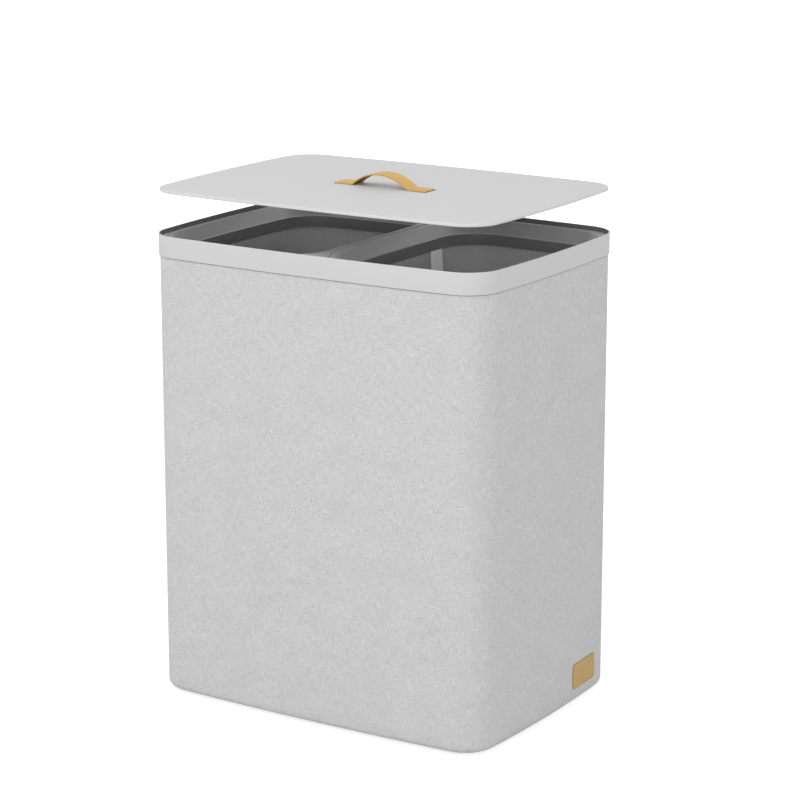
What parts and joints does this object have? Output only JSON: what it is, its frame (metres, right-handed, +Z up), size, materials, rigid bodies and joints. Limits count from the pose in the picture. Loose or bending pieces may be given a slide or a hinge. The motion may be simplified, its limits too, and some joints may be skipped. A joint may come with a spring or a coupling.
{
  "type": "laundry hamper with two bins",
  "caption": "Upright fabric-covered laundry hamper with rounded corners, lift-out bins side by side and a loose flat lid with a leather strap.",
  "frame": {"origin": "on the floor, under the middle of the plan", "axes": "+Z up; the long front side faces -Y; +X is to the right, the side with the leather label"},
  "size_m": [0.5, 0.36, 0.6772],
  "materials": {
    "lid_plastic": "light grey moulded plastic, fine matt texture",
    "rim_plastic": "light grey moulded plastic, satin matt",
    "cover_fabric": "light grey linen-look weave with slubs",
    "bag_fabric": "grey plain-weave polyester",
    "ribbon": "white woven ribbon, bare",
    "collar_plastic": "mid grey moulded plastic",
    "leather": "tan leather, fine grain, cut edges darker",
    "board": "grey-brown pressed fibreboard",
    "steel": "zinc-plated steel",
    "nylon": "grey nylon"
  },
  "bodies": {
    "hamper": {"top_rim": "rim_plastic", "fabric_cover": "cover_fabric", "wall_board": "board", "base_board": "board", "leather_label": "leather", "rim_rivet_right": "nylon", "rim_rivet_left": "nylon", "rim_rivet_back_right": "nylon", "rim_rivet_back_left": "nylon", "rim_rivet_front_right": "nylon", "rim_rivet_front_left": "nylon", "glide_front_left": "nylon", "glide_front_right": "nylon", "glide_back_left": "nylon", "glide_back_right": "nylon"},
    "left_bin": {"left_bin_collar": "collar_plastic", "left_bin_bag": "bag_fabric", "left_bin_bag_floor": "bag_fabric", "left_bin_hoop": "steel", "left_bin_base": "board", "left_bin_care_label": "ribbon"},
    "right_bin": {"right_bin_collar": "collar_plastic", "right_bin_bag": "bag_fabric", "right_bin_bag_floor": "bag_fabric", "right_bin_hoop": "steel", "right_bin_base": "board", "right_bin_care_label": "ribbon"},
    "lid": {"lid_panel": "lid_plastic", "lid_strap": "leather", "strap_plate_left": "steel", "strap_washer_left": "steel", "strap_nut_left": "steel", "strap_plate_right": "steel", "strap_washer_right": "steel", "strap_nut_right": "steel"}
  },
  "joints": [
    {"name": "left_bin_lift", "type": "slide", "parent": "hamper", "child": "left_bin", "axis": [0, 0, 1], "range_m": [0, 0.6]},
    {"name": "right_bin_lift", "type": "slide", "parent": "hamper", "child": "right_bin", "axis": [0, 0, 1], "range_m": [0, 0.6]},
    {"name": "lid_lift", "type": "slide", "parent": "left_bin", "child": "lid", "axis": [0, 0, 1], "range_m": [-0.059, 0.2]}
  ],
  "couplings": [
    {"joint": "right_bin_lift", "follows": "left_bin_lift", "ratio": 1}
  ]
}
